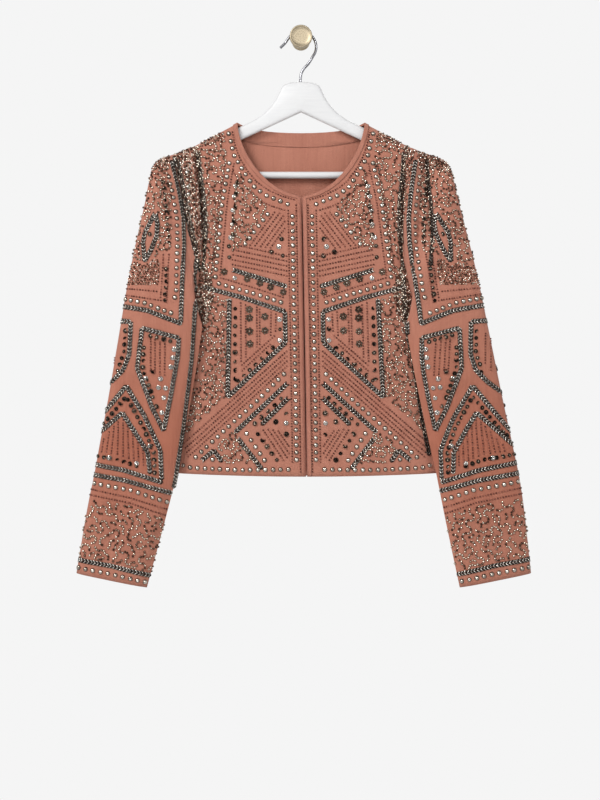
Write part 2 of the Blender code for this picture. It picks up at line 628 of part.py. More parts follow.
main()
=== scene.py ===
import math

import bmesh
import bpy
import numpy as np
from mathutils import Matrix, Vector
from mathutils.bvhtree import BVHTree


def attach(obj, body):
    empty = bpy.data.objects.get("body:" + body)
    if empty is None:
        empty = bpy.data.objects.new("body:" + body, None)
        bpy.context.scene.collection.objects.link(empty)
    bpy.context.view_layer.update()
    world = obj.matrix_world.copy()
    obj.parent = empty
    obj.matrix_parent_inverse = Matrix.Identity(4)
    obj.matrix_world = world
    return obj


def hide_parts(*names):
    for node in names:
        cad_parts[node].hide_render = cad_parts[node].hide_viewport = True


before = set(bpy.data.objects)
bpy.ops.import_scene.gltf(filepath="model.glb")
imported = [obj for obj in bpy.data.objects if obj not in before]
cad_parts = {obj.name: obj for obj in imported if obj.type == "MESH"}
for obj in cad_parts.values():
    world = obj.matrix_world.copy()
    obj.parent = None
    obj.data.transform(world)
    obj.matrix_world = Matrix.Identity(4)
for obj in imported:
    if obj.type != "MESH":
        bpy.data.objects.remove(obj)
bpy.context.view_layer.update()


# Wall knob: turned from solid brass with a rose against the wall, a slim neck for the hook and a dished face.
# It is brushed on the lathe, so the grain runs round it, and a hidden screw holds it from behind.
KNOB_PROFILE = (
    (0.0, 0.0), (12.6, 0.0), (13.0, 0.4), (13.0, 3.1), (12.4, 4.2), (9.2, 5.2), (8.2, 6.6), (8.2, 26.4),
    (9.0, 27.2), (13.8, 28.2), (14.9, 29.0), (15.1, 31.2), (15.6, 31.9), (16.2, 32.7), (16.2, 38.4),
    (15.8, 39.3), (15.0, 39.8), (14.2, 39.6), (13.6, 38.9), (9.0, 38.6), (0.0, 38.5),
)  # radius and distance from the wall, mm
KNOB_STEPS = 96
BRASS_TONES = ((0.0, (0.45, 0.375, 0.26)), (1.0, (0.49, 0.415, 0.295)))
ROOT = "root"


def finish_named(name, roughness, metallic=0.0):
    """A new material, its nodes and links, and its main shader."""
    made = bpy.data.materials.new(name)
    made.use_nodes = True
    nodes, links = made.node_tree.nodes, made.node_tree.links
    shader = nodes["Principled BSDF"]
    shader.inputs["Roughness"].default_value = roughness
    shader.inputs["Metallic"].default_value = metallic
    return made, nodes, links, shader


def graded(nodes, links, source, stops, target):
    """Colours along a ramp that a texture's value runs through, given as place and colour."""
    ramp = nodes.new("ShaderNodeValToRGB")
    while len(ramp.color_ramp.elements) < len(stops):
        ramp.color_ramp.elements.new(0.5)
    for element, (place, colour) in zip(ramp.color_ramp.elements, stops):
        element.position = place
        element.color = (*colour, 1.0)
    links.new(source, ramp.inputs["Fac"])
    links.new(ramp.outputs["Color"], target)


def piece_from(name, shape, finish, sharp=40):
    """A smooth-shaded piece that rides on the one body, from a bmesh."""
    mesh = bpy.data.meshes.new(name)
    shape.to_mesh(mesh)
    shape.free()
    mesh.shade_smooth()
    mesh.set_sharp_from_angle(angle=math.radians(sharp))
    piece = bpy.data.objects.new(name, mesh)
    mesh.materials.append(finish)
    bpy.context.scene.collection.objects.link(piece)
    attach(piece, ROOT)
    return piece


brass, nodes, links, shader = finish_named("brushed_brass", 0.50, 1.0)
turning = nodes.new("ShaderNodeTexWave")
turning.wave_type = "RINGS"
turning.rings_direction = "Y"
turning.inputs["Scale"].default_value = 90.0
turning.inputs["Distortion"].default_value = 0.2
place = nodes.new("ShaderNodeTexCoord")
links.new(place.outputs["Object"], turning.inputs["Vector"])
grain = turning.outputs["Fac"]
graded(nodes, links, grain, BRASS_TONES, shader.inputs["Base Color"])
shape = bmesh.new()
line = [shape.verts.new((radius / 1000, -out / 1000, 0.0)) for radius, out in KNOB_PROFILE]
edges = [shape.edges.new(pair) for pair in zip(line, line[1:])]
bmesh.ops.spin(
    shape, geom=line + edges, cent=(0, 0, 0), axis=(0, 1, 0), angle=2 * math.pi,
    steps=KNOB_STEPS, use_merge=True,
)
bmesh.ops.remove_doubles(shape, verts=shape.verts, dist=1e-6)
bmesh.ops.recalc_face_normals(shape, faces=shape.faces)
knob = piece_from("turned_knob", shape, brass, sharp=50)
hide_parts("wall_knob")


# Hook: one length of polished steel wire, 4 mm thick, bent over a former into a swan neck and a round crook.
# Its straight end is pressed into the hanger and its tip is rounded off.
WIRE_RADIUS = 0.0020
CROOK_RADIUS = 0.022
CROOK_CENTRE_Z = -0.0115
HANG_Y = -0.019
SWAN_NECK = ((0, -0.0857), (0, -0.070), (0, -0.052), (0.0035, -0.0440), (0.0105, -0.0360))
CROOK_TIP = ((-0.0235, -0.0068), (-0.0300, -0.0130))
STEEL_TONES = ((0.3, (0.29, 0.29, 0.31)), (0.75, (0.33, 0.33, 0.35)))


def streaks(nodes, links, scale, detail=3.0):
    """Noise stretched by its own scale along X, Y and Z of the piece."""
    place = nodes.new("ShaderNodeTexCoord")
    stretch = nodes.new("ShaderNodeMapping")
    stretch.inputs["Scale"].default_value = scale
    noise = nodes.new("ShaderNodeTexNoise")
    noise.inputs["Scale"].default_value = 1.0
    noise.inputs["Detail"].default_value = detail
    links.new(place.outputs["Object"], stretch.inputs["Vector"])
    links.new(stretch.outputs["Vector"], noise.inputs["Vector"])
    return noise.outputs["Fac"]


steel, nodes, links, shader = finish_named("polished_wire", 0.24, 1.0)
drawn = streaks(nodes, links, (900.0, 900.0, 120.0))
graded(nodes, links, drawn, STEEL_TONES, shader.inputs["Base Color"])
crook = [
    (CROOK_RADIUS * math.cos(turn), CROOK_CENTRE_Z + CROOK_RADIUS * math.sin(turn))
    for turn in np.radians(np.arange(-38, 150, 17))
]
wire = bpy.data.curves.new("hook_wire", "CURVE")
wire.dimensions = "3D"
wire.bevel_depth = WIRE_RADIUS
wire.bevel_resolution = 5
wire.resolution_u = 6
wire.use_fill_caps = True
route = (*SWAN_NECK, *crook, *CROOK_TIP)
spline = wire.splines.new("BEZIER")
spline.bezier_points.add(len(route) - 1)
for point, (x, z) in zip(spline.bezier_points, route):
    point.co = (x, HANG_Y, z)
    point.handle_left_type = point.handle_right_type = "AUTO"
hook = bpy.data.objects.new("hook_wire", wire)
wire.materials.append(steel)
bpy.context.scene.collection.objects.link(hook)
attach(hook, ROOT)
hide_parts("hanger_hook")


# Hanger: a flat board of hardwood cut to shape, rounded over all round and painted white, with a round bar
# let into both heels. The paint is satin and follows the grain a little.
PAINT_TONES = ((0.25, (0.66, 0.66, 0.665)), (0.8, (0.71, 0.71, 0.71)))


def raised(nodes, links, height, shader, strength, distance):
    """Fine relief on a surface from a texture's value."""
    bump = nodes.new("ShaderNodeBump")
    bump.inputs["Strength"].default_value = strength
    bump.inputs["Distance"].default_value = distance
    links.new(height, bump.inputs["Height"])
    links.new(bump.outputs["Normal"], shader.inputs["Normal"])


def merged_copy(node):
    """A bmesh of a CAD node with its loose triangles joined up."""
    shape = bmesh.new()
    shape.from_mesh(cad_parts[node].data)
    bmesh.ops.remove_doubles(shape, verts=shape.verts, dist=1e-6)
    bmesh.ops.join_triangles(
        shape, faces=shape.faces,
        angle_face_threshold=math.radians(35), angle_shape_threshold=math.radians(80),
    )
    return shape


paint, nodes, links, shader = finish_named("white_paint", 0.42)
wood_grain = streaks(nodes, links, (30.0, 400.0, 400.0), 4.0)
graded(nodes, links, wood_grain, PAINT_TONES, shader.inputs["Base Color"])
raised(nodes, links, wood_grain, shader, 0.1, 0.0003)
for node, name in (("hanger", "hanger_board"), ("trouser_bar", "hanger_bar")):
    board = piece_from(name, merged_copy(node), paint, sharp=35)
    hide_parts(node)


# Cloth: back, fronts and sleeves cut from one matt crinkled weave with a plain lining, 1.4 mm together.
# The panels are sewn at the shoulders, sides and armholes, and hang from the hanger in soft folds.
LEAN = ((-0.80, 0.0030), (-0.63, 0.0080), (-0.50, 0.0060), (-0.23, 0.0012), (-0.17, 0.0))
THREAD = 440.0  # wave scale that gives a thread every 0.7 mm
DRAPE_LEVELS = 2

# Creases: face (-1 front, +1 back), distance from the centre line and drop from the knob at both ends,
# half width and depth, all in mm.
BODY_CREASES = (
    (-1, 150, 150, 139, 360, 4, 6.0),
    (-1, 128, 262, 104, 352, 9, 1.5),
    (-1, 150, 424, 118, 524, 12, 1.8),
    (-1, 64, 548, 70, 650, 9, 1.5),
    (-1, 142, 552, 154, 650, 12, 2.2),
    (-1, 34, 300, 26, 392, 8, 0.9),
    (-1, 172, 440, 180, 560, 8, -1.4),
    (-1, 0, 60, 0, 840, 2.2, 5.2),
    (1, 70, 200, 58, 330, 12, 1.6),
    (1, 120, 260, 96, 400, 10, 1.8),
    (1, 30, 430, 38, 650, 13, 2.0),
    (1, 104, 470, 112, 650, 10, 1.7),
    (1, 160, 450, 172, 640, 12, 1.9),
)
SLEEVE_CREASES = (
    (-1, 205, 196, 196, 316, 6, 2.2),
    (-1, 222, 262, 178, 384, 7, 1.8),
    (-1, 258, 420, 168, 462, 8, 2.2),
    (-1, 272, 492, 186, 520, 9, 1.8),
    (-1, 284, 560, 214, 548, 7, -1.3),
    (-1, 296, 622, 210, 596, 8, 1.6),
    (-1, 310, 690, 240, 668, 10, 1.4),
    (-1, 262, 640, 286, 790, 9, 1.6),
    (1, 214, 214, 204, 330, 7, 2.0),
    (1, 252, 400, 196, 440, 9, 2.2),
    (1, 270, 480, 200, 516, 8, 1.8),
    (1, 286, 560, 216, 590, 10, 2.0),
    (1, 280, 640, 262, 780, 9, 1.5),
)
ARMHOLE_FOLDS = {
    -1: ((-1, 186, 150, 145, 352, 4, 6.5), (-1, 170, 170, 149, 310, 5, -3.0)),
    1: ((-1, 179, 150, 185, 345, 3.5, 5.0), (-1, 166, 160, 156, 330, 5, -2.5)),
}  # by side, the wearer's right and left
# Depth midway between a sleeve's front and back layers: height and y.
SLEEVE_MIDDLE = ((-0.80, -0.0435), (-0.42, -0.0460), (-0.30, -0.0360), (-0.16, -0.0190))


def lean(z):
    """Shift of the centre line towards the wearer's left."""
    heights, shifts = zip(*LEAN)
    return np.interp(z, heights, shifts)


def soft(share):
    """A smooth rise from 0 to 1."""
    t = np.clip(share, 0, 1)
    return t * t * (3 - 2 * t)


def creased(points, side, creases, on_face):
    """Points with soft troughs and ridges pressed in towards the middle of the garment."""
    out = side * (points[:, 0] - lean(points[:, 2])) * 1000
    drop = -points[:, 2] * 1000
    share_of = {face: on_face(points, face) for face in (-1, 1)}
    for face, out_0, drop_0, out_1, drop_1, half_width, depth in creases:
        run = np.array((out_1 - out_0, drop_1 - drop_0), float)
        share = ((out - out_0) * run[0] + (drop - drop_0) * run[1]) / (run @ run)
        off = np.hypot(out - out_0 - share * run[0], drop - drop_0 - share * run[1])
        ends = soft(share / 0.3) * soft((1 - share) / 0.3)
        points[:, 1] -= face * depth / 1000 * np.exp(-((off / half_width) ** 2)) * ends * share_of[face]
    return points


def front_only(points, face):
    return 1.0 if face < 0 else 0.0


def back_only(points, face):
    return 1.0 if face > 0 else 0.0


def sleeve_layer(points, face):
    """How much a point belongs to the sleeve's front or back layer."""
    heights, depths = zip(*SLEEVE_MIDDLE)
    middle = np.interp(points[:, 2], heights, depths)
    return soft(face * (points[:, 1] - middle) / 0.004)


def cloth_shell(node, name, finish, side, creases, layer):
    """A finer shell on a cloth solid's own form, with its creases pressed in."""
    piece = piece_from(name, merged_copy(node), finish)
    drape = piece.modifiers.new("drape", "SUBSURF")
    drape.subdivision_type = "SIMPLE"
    drape.levels = drape.render_levels = DRAPE_LEVELS
    graph = bpy.context.evaluated_depsgraph_get()
    fine = bpy.data.meshes.new_from_object(piece.evaluated_get(graph))
    piece.modifiers.clear()
    points = np.empty(len(fine.vertices) * 3)
    fine.vertices.foreach_get("co", points)
    points = points.reshape(-1, 3)
    if side:
        points = creased(points, side, creases, layer)
    else:
        left = points[:, 0] >= lean(points[:, 2])
        for half, way in ((left, 1), (~left, -1)):
            points[half] = creased(points[half], way, creases, layer)
    fine.vertices.foreach_set("co", points.ravel())
    fine.update()
    fine.shade_smooth()
    fine.set_sharp_from_angle(angle=math.radians(50))
    piece.data = fine
    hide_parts(node)
    return piece


def woven(name, light, dark, shade_by_height=()):
    """Matt cloth: crossed threads, crinkles that run down it and an uneven dye, with painted shade by height
    where it is given.
    """
    made, nodes, links, shader = finish_named(name, 0.86)
    shader.inputs["Sheen Weight"].default_value = 0.12
    shader.inputs["Sheen Roughness"].default_value = 0.5
    shader.inputs["Specular IOR Level"].default_value = 0.25
    dye = streaks(nodes, links, (60.0, 60.0, 22.0), 4.0)
    crinkle = streaks(nodes, links, (300.0, 200.0, 26.0), 2.0)
    both = nodes.new("ShaderNodeMix")
    both.inputs["Factor"].default_value = 0.45
    links.new(dye, both.inputs["A"])
    links.new(crinkle, both.inputs["B"])
    place = nodes.new("ShaderNodeTexCoord")
    colour = shader.inputs["Base Color"]
    # Painted shade, where given: the cloth's colour is multiplied by a ramp over the height.
    if shade_by_height:
        tint = nodes.new("ShaderNodeMix")
        tint.data_type = "RGBA"
        tint.blend_type = "MULTIPLY"
        tint.inputs["Factor"].default_value = 1.0
        axes = nodes.new("ShaderNodeSeparateXYZ")
        height = nodes.new("ShaderNodeMapRange")
        height.inputs["From Min"].default_value = -1.0
        height.inputs["From Max"].default_value = 0.0
        links.new(place.outputs["Object"], axes.inputs["Vector"])
        links.new(axes.outputs["Z"], height.inputs["Value"])
        graded(nodes, links, height.outputs["Result"], shade_by_height, tint.inputs[7])
        links.new(tint.outputs[2], colour)
        colour = tint.inputs[6]
    graded(nodes, links, both.outputs["Result"], ((0.33, dark), (0.66, light)), colour)
    threads = []
    for way in ("X", "Z"):
        thread = nodes.new("ShaderNodeTexWave")
        thread.bands_direction = way
        thread.inputs["Scale"].default_value = THREAD
        thread.inputs["Distortion"].default_value = 1.2
        links.new(place.outputs["Object"], thread.inputs["Vector"])
        threads.append(thread.outputs["Fac"])
    over = nodes.new("ShaderNodeMath")
    over.operation = "MAXIMUM"
    links.new(threads[0], over.inputs[0])
    links.new(threads[1], over.inputs[1])
    weave = nodes.new("ShaderNodeMath")
    weave.operation = "MULTIPLY_ADD"
    weave.inputs[1].default_value = 3.0
    links.new(crinkle, weave.inputs[0])
    links.new(over.outputs["Value"], weave.inputs[2])
    raised(nodes, links, weave.outputs["Value"], shader, 0.6, 0.0007)
    return made


terracotta = woven("terracotta_cloth", (0.535, 0.224, 0.154), (0.462, 0.182, 0.123))
# The sleeves carry painted shade, darkest above the cuffs: height above 1 m below the knob, and the colour
# the cloth is multiplied by.
shaded_sleeve_cloth = woven(
    "shaded_sleeve_cloth", (0.535, 0.224, 0.154), (0.462, 0.182, 0.123),
    (
        (0.28, (0.96, 0.94, 0.92)), (0.41, (0.86, 0.71, 0.63)),
        (0.54, (0.93, 0.87, 0.83)), (0.66, (1.0, 1.0, 1.0)),
    ),
)

cloth = {}
cloth["back"] = cloth_shell("back", "back_cloth", terracotta, 0, BODY_CREASES, back_only)
for word, side in (("left", 1), ("right", -1)):
    front = cloth_shell(
        f"front_{word}", f"front_{word}_cloth", terracotta, side, BODY_CREASES, front_only
    )
    folds = SLEEVE_CREASES + ARMHOLE_FOLDS[side]
    sleeve = cloth_shell(
        f"sleeve_{word}", f"sleeve_{word}_cloth", shaded_sleeve_cloth, side, folds, sleeve_layer
    )
    cloth[f"front_{word}"], cloth[f"sleeve_{word}"] = front, sleeve


# Edging and facing: a folded strip of the same cloth round the neck and down both fronts, and a facing inside
# the back neck. They are cut on the bias and sewn flat over the raw edges.
STRIP_CUT = (0.010, 0.58, 0.0048)  # with what rolls in at the centre front
BACK_STRIP_CUT = (0.010, 0.19, 0.0015)
FACING_CUT = (0.0215, 0.19, 0.0039)
edging = woven("edging_cloth", (0.505, 0.211, 0.146), (0.435, 0.171, 0.117))
for node, name, side, layer, cut, sewn_to in (
    ("edging_left", "edging_left_strip", 1, front_only, STRIP_CUT, "front_left_cloth"),
    ("edging_right", "edging_right_strip", -1, front_only, STRIP_CUT, "front_right_cloth"),
    ("edging_back", "edging_back_strip", 0, back_only, BACK_STRIP_CUT, "back_cloth"),
    ("neck_facing", "neck_facing_cloth", 0, back_only, FACING_CUT, "back_cloth"),
):
    cloth[node] = cloth_shell(node, name, edging, side, BODY_CREASES, layer)


# Beadwork: beads, studs and sequins are sewn through the cloth by hand, row by row, from a paper pattern.
# The pattern is for one half and is used on both, on the front and on the back, with the same kinds of bead.
CAST_FROM = 0.3  # distance from the wall's plane that a needle starts from, before or behind the jacket
EDGE_ON = 0.10  # a bead is left off where the cloth turns away further than this
# The left sleeve hangs turned a little inwards, and its pattern with it: drop and shift in mm.
LEFT_TURN = (
    (180, 22), (290, 17), (410, 9), (440, 12), (480, 16), (560, 18), (640, 13), (700, 5),
)


def needle_tree(*names):
    """What a needle meets: the surfaces of these cloth pieces."""
    points, faces = [], []
    for name in names:
        mesh = cloth[name].data
        start = len(points)
        points += [tuple(v.co) for v in mesh.vertices]
        faces += [tuple(start + k for k in face.vertices) for face in mesh.polygons]
    return BVHTree.FromPolygons(points, faces)


# Panels that beads are sewn on: surface, side of the pattern, face (-1 front, +1 back) and way it is turned.
front_panels, back_panels, sleeve_panels = [], [], []
back_tree = needle_tree("back", "edging_back")
for word, side in (("left", 1), ("right", -1)):
    sleeve_tree = needle_tree(f"sleeve_{word}")
    front_panels.append((needle_tree(f"front_{word}", f"edging_{word}"), side, -1, 0))
    back_panels.append((back_tree, side, 1, 0))
    turned = 1 if word == "left" else 0
    sleeve_panels += [(sleeve_tree, side, -1, -turned), (sleeve_tree, side, 1, turned)]
body_panels = front_panels + back_panels


def touch(panel, out, drop):
    """Where a needle at a place of the pattern, in mm, meets the cloth, and the way out there."""
    tree, side, face, turned = panel
    drops, shifts = zip(*LEFT_TURN)
    z = -drop / 1000
    x = side * (out + turned * np.interp(drop, drops, shifts)) / 1000 + float(lean(z))
    place, normal, _, _ = tree.ray_cast(Vector((x, face * CAST_FROM, z)), Vector((0, -face, 0)))
    if place is None or normal.y * face < EDGE_ON:
        return None
    return np.array(place), np.array(normal)


def row_of(panel, path, pitch, step=0.8):
    """Places, ways along and ways out at a pitch in mm along a path of the pattern, measured on the cloth."""
    path = np.array(path, float)
    lengths = np.concatenate([[0], np.cumsum(np.linalg.norm(np.diff(path, axis=0), axis=1))])
    at = np.linspace(0, lengths[-1], max(2, int(lengths[-1] / step)))
    outs = np.interp(at, lengths, path[:, 0])
    drops = np.interp(at, lengths, path[:, 1])
    found = [hit for hit in (touch(panel, out, drop) for out, drop in zip(outs, drops)) if hit]
    if len(found) < 3:
        return []
    places, normals = (np.array(column) for column in zip(*found))
    run = np.concatenate([[0], np.cumsum(np.linalg.norm(np.diff(places, axis=0), axis=1))]) * 1000
    count = max(1, int(round(run[-1] / pitch)))
    stops = (np.arange(count) + 0.5) * run[-1] / count
    near = np.clip(np.searchsorted(run, stops), 1, len(run) - 1)
    return [(places[k], places[k] - places[k - 1], normals[k]) for k in near]


def rows_on(panels, paths, pitch):
    """All the spots of these rows on these panels."""
    return [spot for panel in panels for path in paths for spot in row_of(panel, path, pitch)]


def sewn(name, shape, spots, tone, finish, draws, lift=0.0, sizes=(0.93, 1.07), foot_shade=0.0, smooth=True):
    """One mesh of a small shape at every spot, each with its own tone, and with painted shade that darkens it
    towards its foot, as strongly as given.
    """
    bmesh.ops.triangulate(shape, faces=shape.faces)
    shape.verts.index_update()
    corners = np.array([tuple(v.co) for v in shape.verts])
    faces = np.array([[v.index for v in face.verts] for face in shape.faces])
    shape.free()
    places, along, outward = (np.array(column) for column in zip(*spots))
    outward /= np.linalg.norm(outward, axis=1, keepdims=True)
    along = along - outward * np.sum(along * outward, axis=1, keepdims=True)
    along /= np.linalg.norm(along, axis=1, keepdims=True)
    turned = np.stack([along, np.cross(outward, along), outward], axis=1)
    size = draws.uniform(*sizes, len(spots))
    points = (corners[None] * size[:, None, None]) @ turned + (places + outward * lift)[:, None]
    order = faces[None] + (np.arange(len(spots)) * len(corners))[:, None, None]
    mesh = bpy.data.meshes.new(name)
    mesh.vertices.add(points.size // 3)
    mesh.vertices.foreach_set("co", points.ravel())
    mesh.loops.add(order.size)
    mesh.loops.foreach_set("vertex_index", order.ravel())
    mesh.polygons.add(order.size // 3)
    mesh.polygons.foreach_set("loop_start", np.arange(0, order.size, 3))
    mesh.update(calc_edges=True)
    if smooth:
        mesh.shade_smooth()
    # Painted shade: each corner's tone is darkened by its height in the shape, the foot most.
    height = ((corners[:, 2] - corners[:, 2].min()) / np.ptp(corners[:, 2])) ** 2
    shade = mesh.attributes.new("tone", "FLOAT", "POINT")
    shade.data.foreach_set("value", (tone[:, None] * (1 - foot_shade * (1 - height))[None]).ravel())
    mesh.materials.append(finish)
    piece = bpy.data.objects.new(name, mesh)
    bpy.context.scene.collection.objects.link(piece)
    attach(piece, ROOT)
    return piece


def bead_finish(name, roughness, metallic, *stops):
    """A bead's finish: its colour runs through a ramp by the tone that each bead has, painted shade at the
    foot included where it is given, a little mottled.
    """
    made, nodes, links, shader = finish_named(name, roughness, metallic)
    tone = nodes.new("ShaderNodeAttribute")
    tone.attribute_name = "tone"
    mottle = streaks(nodes, links, (700.0, 700.0, 700.0), 1.0)
    mixed = nodes.new("ShaderNodeMath")
    mixed.operation = "MULTIPLY_ADD"
    mixed.inputs[1].default_value = 0.12
    links.new(mottle, mixed.inputs[0])
    links.new(tone.outputs["Fac"], mixed.inputs[2])
    graded(nodes, links, mixed.outputs["Value"], stops, shader.inputs["Base Color"])
    return made


def mixed_tones(draws, count, dark, bright):
    """Tones for beads from a mixed bag: a share of dark ones, a share of bright ones and the rest between."""
    pick = draws.random(count)
    tone = draws.uniform(0.35, 0.6, count)
    tone[pick < dark] = draws.uniform(0.0, 0.22, np.count_nonzero(pick < dark))
    tone[pick > 1 - bright] = draws.uniform(0.75, 1.0, np.count_nonzero(pick > 1 - bright))
    return tone


# Studs: pressed domes of champagne-coloured metal, 7 mm across, set along the main lines, with painted shade
# darkening each towards its foot.
# Two prongs behind each go through the cloth and are bent over.
STUD_RADIUS = 0.0035
STUD_HEIGHT = 0.0028
STUD_PITCH = 10.6
FRONT_STUDS = (
    ((105, 134), (101, 148), (96, 170), (91, 179), (81, 196), (69, 215), (52, 228), (32, 236), (16, 243)),
    ((102, 176), (114, 239), (122, 311), (126, 350)),
    ((14, 253), (14, 611)),
    ((46, 251), (85, 302)),
    ((126, 353), (96, 362), (67, 370), (28, 383)),
    ((26, 480), (70, 523), (103, 552), (162, 606)),
    ((88, 564), (57, 611)),
    ((182, 613), (165, 618), (96, 621), (21, 620)),
    ((136, 604), (132, 608)),
)
SLEEVE_STUDS = (
    ((284, 372), (226, 383), (201, 393), (184, 399)),
    ((191, 196), (184, 230), (179, 262), (178, 300), (181, 367), (184, 380)),
    ((164, 190), (161, 240), (157, 285)),
    ((330, 634), (299, 640), (249, 649), (192, 668)),
    ((340, 756), (320, 760), (276, 768), (216, 783)),
)
BACK_STUDS = (((101, 136), (84, 146), (46, 148), (4, 148)),)
draws = np.random.default_rng(11)
champagne = bead_finish(
    "champagne_metal", 0.22, 1.0,
    (0.0, (0.03, 0.024, 0.020)), (0.4, (0.13, 0.105, 0.088)),
    (0.7, (0.40, 0.345, 0.29)), (1.0, (0.80, 0.74, 0.66)),
)
shape = bmesh.new()
bmesh.ops.create_uvsphere(shape, u_segments=10, v_segments=8, radius=STUD_RADIUS)
bmesh.ops.delete(shape, geom=[v for v in shape.verts if v.co.z < -1e-5], context="VERTS")
bmesh.ops.scale(shape, vec=(1, 1, STUD_HEIGHT / STUD_RADIUS), verts=shape.verts)
bmesh.ops.contextual_create(shape, geom=[edge for edge in shape.edges if edge.is_boundary])
spots = rows_on(body_panels, FRONT_STUDS, STUD_PITCH)
spots += rows_on(back_panels, BACK_STUDS, STUD_PITCH)
spots += rows_on(sleeve_panels, SLEEVE_STUDS, STUD_PITCH)
tone = draws.uniform(0.70, 1.0, len(spots))
# Painted shade darkens each stud from its crown down to its foot.
sewn("dome_studs", shape, spots, tone, champagne, draws, foot_shade=0.65)


# Bead lines: dark copper seed beads on one thread, couched down in single rows beside the studs and bands.
# They sit a little apart, so a row looks dotted.
LINE_BEAD = 0.00138
LINE_PITCH = 3.9
FRONT_LINES = (
    ((99, 134), (94, 158), (87, 176), (77, 193), (64, 209), (49, 220), (30, 229), (10, 235)),
    ((98, 190), (96, 197), (78, 219), (56, 238), (43, 244), (24, 250)),
    ((38, 251), (76, 301)),
    ((31, 252), (69, 302)),
    ((26, 256), (61, 303)),
    ((24, 264), (54, 304)),
    ((24, 274), (47, 305)),
    ((97, 299), (22, 316)),
    ((101, 306), (22, 323)),
    ((102, 313), (22, 330)),
    ((103, 320), (22, 337)),
    ((103, 327), (22, 344)),
    ((90, 380), (91, 467)),
    ((83, 383), (84, 461)),
    ((67, 386), (68, 447)),
    ((63, 389), (64, 443)),
    ((47, 393), (48, 430)),
    ((40, 396), (41, 424)),
    ((41, 428), (91, 472)),
    ((47, 440), (91, 480)),
    ((24, 450), (176, 584)),
    ((24, 457), (174, 591)),
    ((24, 464), (172, 597)),
    ((24, 471), (170, 603)),
    ((41, 563), (24, 588)),
    ((48, 562), (24, 598)),
    ((55, 561), (27, 604)),
    ((62, 562), (32, 608)),
    ((20, 248), (20, 611)),
    ((8.5, 240), (8.5, 625)),
    ((108, 176), (119, 239), (128, 311), (132, 350)),
    ((96, 180), (107, 239), (115, 311), (119, 344)),
    ((120, 346), (96, 353), (67, 362), (28, 375)),
)
SLEEVE_LINES = (
    ((276, 360), (207, 367)),
    ((278, 368), (201, 380)),
    ((332, 644), (300, 649), (249, 660), (196, 677)),
    ((332, 652), (301, 657), (250, 667), (197, 686)),
    ((218, 432), (219, 481)),
    ((212, 433), (213, 484)),
    ((205, 436), (206, 490)),
    ((198, 439), (199, 487)),
    ((295, 582), (298, 595)),
    ((287, 574), (291, 596)),
    ((279, 564), (284, 596)),
    ((272, 556), (277, 598)),
    ((266, 550), (268, 599)),
    ((259, 547), (260, 602)),
    ((253, 556), (252, 605)),
    ((246, 566), (245, 608)),
    ((239, 579), (238, 611)),
    ((232, 590), (231, 615)),
    ((268, 424), (271, 470)),
    ((276, 424), (280, 480)),
    ((198, 312), (203, 377)),
    ((190, 312), (195, 384)),
)
copper = bead_finish(
    "copper_beads", 0.34, 0.5,
    (0.0, (0.060, 0.016, 0.011)), (0.6, (0.15, 0.042, 0.029)), (1.0, (0.34, 0.13, 0.09)),
)
shape = bmesh.new()
bmesh.ops.create_icosphere(shape, subdivisions=1, radius=LINE_BEAD)
spots = rows_on(body_panels, FRONT_LINES, LINE_PITCH) + rows_on(sleeve_panels, SLEEVE_LINES, LINE_PITCH)
tone = draws.uniform(0.0, 1.0, len(spots))
sewn("copper_bead_lines", shape, spots, tone, copper, draws, lift=0.0006)


# Rope bands: short gunmetal bugle beads in two rows that lean against each other, so a band looks twisted.
# Every second one is lined with silver and catches the light; the bands in the armhole folds, at the armhole
# seams and sides and on the sleeves' inner edges are darker as painted shade.
BUGLE_RADIUS = 0.00095
BUGLE_LENGTH = 0.0046
BUGLE_PITCH = 2.35
BUGLE_SLANT = math.radians(46)
ROW_OFFSET = 0.0017
FRONT_ROPES = (
    ((101, 335), (24, 359)),
    ((146, 359), (90, 374), (27, 395)),
    ((27, 395), (27, 439)),
    ((27, 439), (111, 517)),
    ((111, 517), (106, 377)),
    ((25, 497), (101, 567)),
    ((24, 518), (63, 556)),
    ((98, 575), (64, 619)),
    ((150, 608), (132, 593)),
    ((132, 593), (121, 609)),
)
SLEEVE_ROPES = (
    ((209, 255), (224, 282), (227, 296), (225, 324)),
    ((209, 255), (206, 270), (207, 286), (216, 308), (225, 324)),
    ((290, 382), (222, 394), (174, 413)),
    ((175, 411), (171, 340), (169, 300), (170, 262), (175, 230), (180, 205), (186, 178)),
    ((230, 419), (178, 433)),
    ((178, 433), (180, 459), (191, 515), (202, 564)),
    ((202, 564), (218, 531), (238, 476), (234, 446), (230, 419)),
    ((290, 406), (246, 410)),
    ((246, 410), (249, 456), (258, 478), (275, 495), (300, 513)),
    ((314, 571), (287, 540), (254, 501)),
    ((254, 501), (229, 543), (207, 592), (206, 634)),
    ((314, 588), (289, 564), (260, 539)),
    ((260, 539), (225, 595), (222, 625)),
    ((330, 607), (258, 621), (205, 638)),
    ((332, 622), (258, 635), (190, 654)),
    ((340, 745), (274, 757), (212, 773)),
)
INNER_ROPES = (((152, 322), (155, 345), (153, 377), (161, 464), (175, 564), (190, 650)),)
